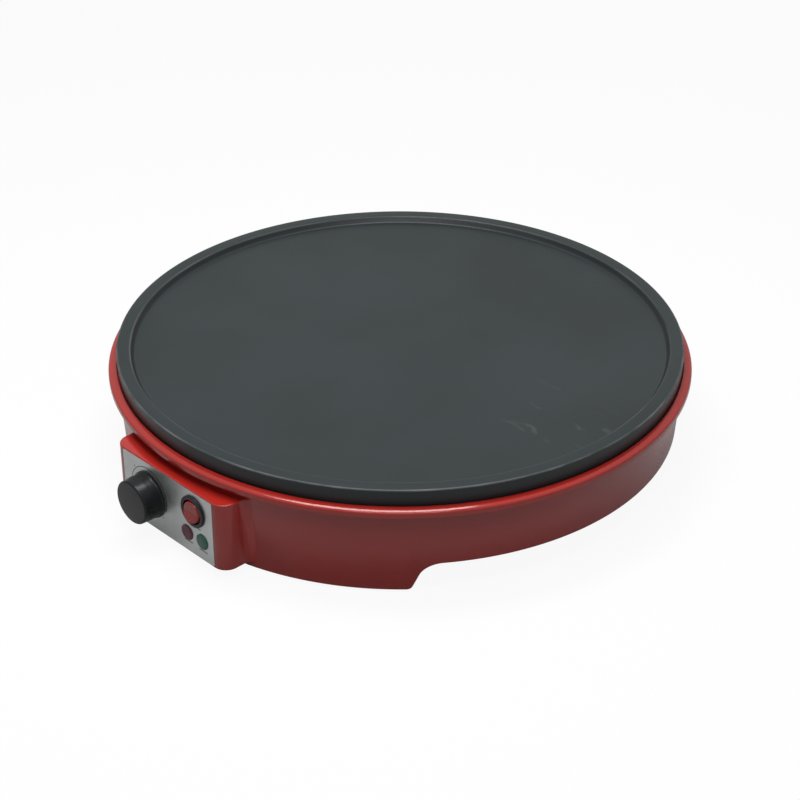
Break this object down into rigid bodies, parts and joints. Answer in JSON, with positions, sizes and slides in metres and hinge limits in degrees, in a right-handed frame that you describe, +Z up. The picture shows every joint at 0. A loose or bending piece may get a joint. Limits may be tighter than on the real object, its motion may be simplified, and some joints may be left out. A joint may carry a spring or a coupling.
{
  "type": "electric crepe maker",
  "caption": "Electric crepe maker: fixed round non-stick hotplate with a raised rim on a glossy moulded base, front control box with thermostat knob, rocker switch and pilot lamps.",
  "frame": {"origin": "centre of the bounding box in plan, on the table under the rubber feet", "axes": "+Z up along the plate's axis, control panel and knob face -Y, cord inlet faces +Y"},
  "size_m": [0.4126, 0.4336, 0.0812],
  "materials": {
    "nonstick_plate": "non-stick coated",
    "element_steel": "heat-stained",
    "ceramic": "glazed ceramic look",
    "steel": "zinc plated",
    "reflector": "aluminised sheet",
    "tinned": "tinned wire",
    "copper": "drawn copper",
    "red_shell": "glossy",
    "black_cover": "fine spark texture",
    "foot_rubber": "matte",
    "silver_panel": "satin silver",
    "thermostat": "moulded phenolic",
    "brass": "stamped",
    "black_knob": "satin",
    "black_bezel": "glossy",
    "red_rocker": "translucent red",
    "red_lens": "translucent red",
    "green_lens": "translucent green",
    "lamp_glass": "clear",
    "black_bush": "satin"
  },
  "bodies": {
    "base": {"cooking_plate": "nonstick_plate", "heating_element": "element_steel", "element_insulators": "ceramic", "element_pins": "tinned", "element_clamps": "steel", "clamp_screws": "steel", "heat_reflector": "reflector", "reflector_screws": "steel", "plate_spacers": "steel", "plate_screws": "steel", "sensing_bulb": "copper", "capillary_tube": "copper", "bulb_clip": "steel", "thermal_fuse": "ceramic", "fuse_leads": "tinned", "fuse_clip": "steel", "clip_screws": "steel", "base_housing": "red_shell", "bottom_cover": "black_cover", "cover_screws": "steel", "rubber_feet": "foot_rubber", "control_panel": "silver_panel", "thermostat_body": "thermostat", "thermostat_screws": "steel", "thermostat_terminals": "brass", "switch_housing": "black_bezel", "switch_terminals": "brass", "switch_lamp": "lamp_glass", "red_lamp_lens": "red_lens", "green_lamp_lens": "green_lens", "lamp_sockets": "ceramic", "lamp_neons": "lamp_glass", "lamp_retainers": "steel", "cord_gland": "black_bush", "gland_nut": "black_bush", "terminal_block": "ceramic", "terminal_screws": "brass", "earth_tag": "brass", "earth_nut": "steel"},
    "knob": {"thermostat_knob": "black_knob", "thermostat_shaft": "steel"},
    "rocker": {"switch_rocker": "red_rocker"}
  },
  "joints": [
    {"name": "knob_turn", "type": "hinge", "parent": "base", "child": "knob", "pos_m": [-0.0194, -0.201, 0.0333], "axis": [0, 1, 0], "range_deg": [0, 220]},
    {"name": "rocker_tilt", "type": "hinge", "parent": "base", "child": "rocker", "pos_m": [0.0273, -0.2013, 0.0424], "axis": [1, 0, 0], "range_deg": [0, 16]}
  ]
}
